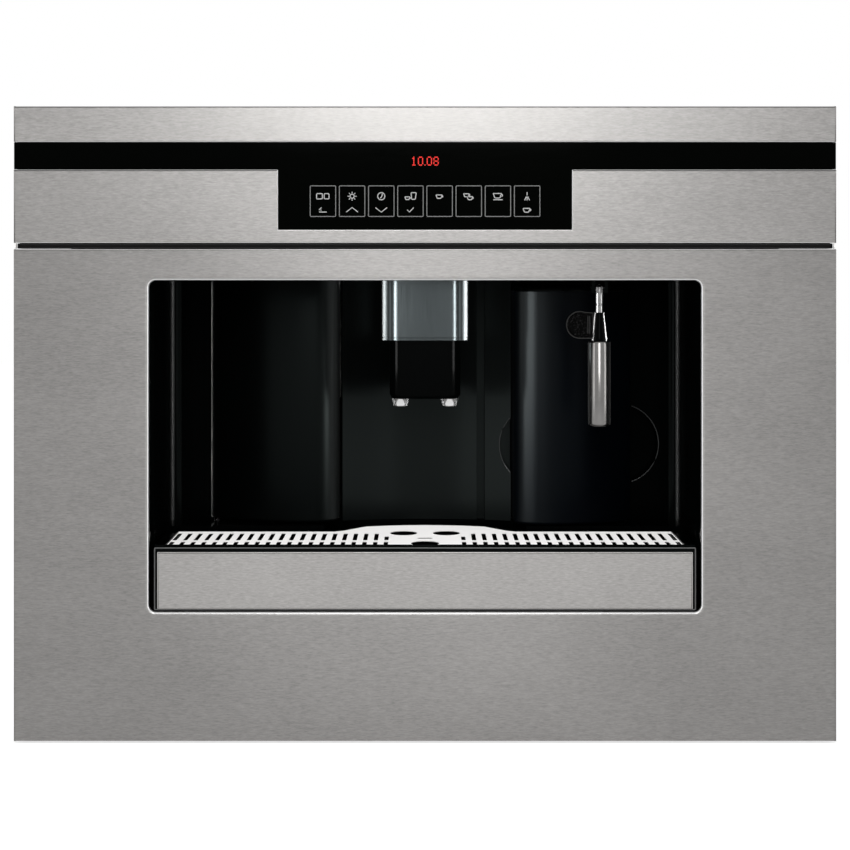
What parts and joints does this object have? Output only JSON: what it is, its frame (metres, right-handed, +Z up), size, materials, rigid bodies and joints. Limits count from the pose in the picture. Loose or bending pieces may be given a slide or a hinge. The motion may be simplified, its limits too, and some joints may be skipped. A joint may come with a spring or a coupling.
{
  "type": "built-in coffee machine",
  "caption": "Built-in bean-to-cup coffee machine with a stainless front, touch display, cup niche with drip tray, spout and steam wand, on pull-out runners.",
  "frame": {"origin": "middle of the footprint, on the cabinet floor that the rails stand on", "axes": "+X to the right seen from the front, +Y back into the cabinet (the front faces -Y), +Z up"},
  "size_m": [0.594, 0.402, 0.4607],
  "materials": {
    "stainless_front": "brushed along the front's length",
    "stainless_plain": "fine satin",
    "polished_steel": "polished",
    "zinc_steel": "zinc plated",
    "case_steel": "galvanised sheet",
    "gloss_black": "gloss",
    "matte_black": "fine grain",
    "smoked_glass": "gloss, nearly black",
    "smoked_tank": "gloss, nearly black",
    "clear_hopper": "smoked",
    "grey_plastic": "fine grain",
    "white_plastic": "satin",
    "red_plastic": "gloss",
    "rubber_black": "matt",
    "silicone": "satin",
    "cast_aluminium": "as cast",
    "brass": "turned",
    "circuit_board": "solder mask",
    "lamp_lens": "frosted"
  },
  "bodies": {
    "cabinet": {"cabinet_rails": "zinc_steel"},
    "runners": {"middle_rails": "zinc_steel"},
    "machine": {"inner_rails": "zinc_steel", "base_chassis": "case_steel", "side_panels": "case_steel", "rear_panel": "case_steel", "top_cover": "case_steel", "fasteners": "zinc_steel", "front_panel": "stainless_front", "front_frame": "matte_black", "lower_fascia": "stainless_front", "upper_trim": "stainless_front", "display_glass": "smoked_glass", "control_housing": "matte_black", "display_boards": "circuit_board", "cavity_liner": "gloss_black", "centre_wall": "gloss_black", "cavity_lamps": "lamp_lens", "tank_bay": "matte_black", "spout_shroud": "stainless_plain", "wand_socket": "gloss_black", "brew_frame": "grey_plastic", "brew_chamber": "white_plastic", "brew_motor": "zinc_steel", "grounds_container": "matte_black", "brew_shelf": "matte_black", "coffee_chute": "matte_black", "grinder_housing": "grey_plastic", "grinder_motor": "zinc_steel", "bean_hopper": "clear_hopper", "boilers": "cast_aluminium", "pump": "brass", "pump_mounts": "rubber_black", "flow_meter": "white_plastic", "solenoid_valve": "brass", "hoses": "silicone", "power_board": "circuit_board", "mains_inlet": "matte_black"},
    "drip_tray": {"drip_tray": "gloss_black", "tray_plate": "stainless_front"},
    "drip_grid": {"drip_grid": "stainless_plain"},
    "drip_float": {"drip_float": "red_plastic"},
    "service_door": {"service_door": "gloss_black"},
    "water_tank": {"water_tank": "smoked_tank", "tank_lid": "gloss_black", "tank_valve": "silicone"},
    "tank_float": {"tank_float": "white_plastic"},
    "spout": {"spout_body": "gloss_black", "spout_nozzles": "polished_steel"},
    "steam_wand": {"wand_tube": "polished_steel", "wand_holder": "matte_black", "frother_sleeve": "stainless_plain"},
    "bean_lid": {"bean_lid": "clear_hopper"},
    "funnel_lid": {"funnel_lid": "matte_black"},
    "grind_knob": {"grind_knob": "matte_black"},
    "burr_ring": {"burr_ring": "stainless_plain"},
    "lower_burr": {"lower_burr": "stainless_plain"},
    "brew_piston": {"brew_piston": "grey_plastic"},
    "lead_screw": {"lead_screw": "stainless_plain"},
    "main_switch": {"main_switch": "matte_black"}
  },
  "joints": [
    {"name": "machine_pull_out", "type": "slide", "parent": "cabinet", "child": "machine", "axis": [0, -1, 0], "range_m": [0, 0.3]},
    {"name": "runner_slide", "type": "slide", "parent": "cabinet", "child": "runners", "axis": [0, -1, 0], "range_m": [0, 0.15]},
    {"name": "drip_tray_slide", "type": "slide", "parent": "machine", "child": "drip_tray", "axis": [0, -1, 0], "range_m": [0, 0.14]},
    {"name": "drip_grid_lift", "type": "slide", "parent": "drip_tray", "child": "drip_grid", "axis": [0, 0, 1], "range_m": [0, 0.03]},
    {"name": "drip_float_rise", "type": "slide", "parent": "drip_tray", "child": "drip_float", "axis": [0, 0, 1], "range_m": [0, 0.012]},
    {"name": "service_door_hinge", "type": "hinge", "parent": "machine", "child": "service_door", "pos_m": [-0.163, -0.07, 0.246], "axis": [0, 0, -1], "range_deg": [0, 80]},
    {"name": "water_tank_slide", "type": "slide", "parent": "machine", "child": "water_tank", "axis": [0, -1, 0], "range_m": [0, 0.044]},
    {"name": "tank_float_rise", "type": "slide", "parent": "water_tank", "child": "tank_float", "axis": [0, 0, 1], "range_m": [0, 0.13]},
    {"name": "spout_height", "type": "slide", "parent": "machine", "child": "spout", "axis": [0, 0, 1], "range_m": [-0.02, 0.022]},
    {"name": "steam_wand_swing", "type": "hinge", "parent": "machine", "child": "steam_wand", "pos_m": [0.129, -0.163, 0.3293], "axis": [-1, 0, 0], "range_deg": [0, 60]},
    {"name": "bean_lid_hinge", "type": "hinge", "parent": "machine", "child": "bean_lid", "pos_m": [0.066, 0.1495, 0.4512], "axis": [-1, 0, 0], "range_deg": [0, 95]},
    {"name": "funnel_lid_hinge", "type": "hinge", "parent": "machine", "child": "funnel_lid", "pos_m": [-0.118, 0.0005, 0.4512], "axis": [-1, 0, 0], "range_deg": [0, 95]},
    {"name": "burr_ring_turn", "type": "hinge", "parent": "machine", "child": "burr_ring", "pos_m": [0.01, 0.069, 0.342], "axis": [0, 0, 1], "range_deg": [-25, 25]},
    {"name": "grind_knob_turn", "type": "hinge", "parent": "machine", "child": "grind_knob", "pos_m": [-0.035, 0.069, 0.342], "axis": [0, 0, 1], "range_deg": [-100, 100]},
    {"name": "lower_burr_spin", "type": "hinge", "parent": "machine", "child": "lower_burr", "pos_m": [0.01, 0.069, 0.3], "axis": [0, 0, 1], "continuous": true},
    {"name": "brew_piston_slide", "type": "slide", "parent": "machine", "child": "brew_piston", "axis": [0, 0, -1], "range_m": [0, 0.031]},
    {"name": "lead_screw_turn", "type": "hinge", "parent": "machine", "child": "lead_screw", "pos_m": [-0.118, 0.061, 0.29], "axis": [0, 0, 1], "range_deg": [0, 930.1]},
    {"name": "main_switch_rock", "type": "hinge", "parent": "machine", "child": "main_switch", "pos_m": [-0.215, 0.195, 0.092], "axis": [1, 0, 0], "range_deg": [-16, 0]}
  ],
  "couplings": [
    {"joint": "runner_slide", "follows": "machine_pull_out", "ratio": 0.5},
    {"joint": "grind_knob_turn", "follows": "burr_ring_turn", "ratio": -4},
    {"joint": "lead_screw_turn", "follows": "brew_piston_slide", "rad_per_m": 523.6}
  ]
}
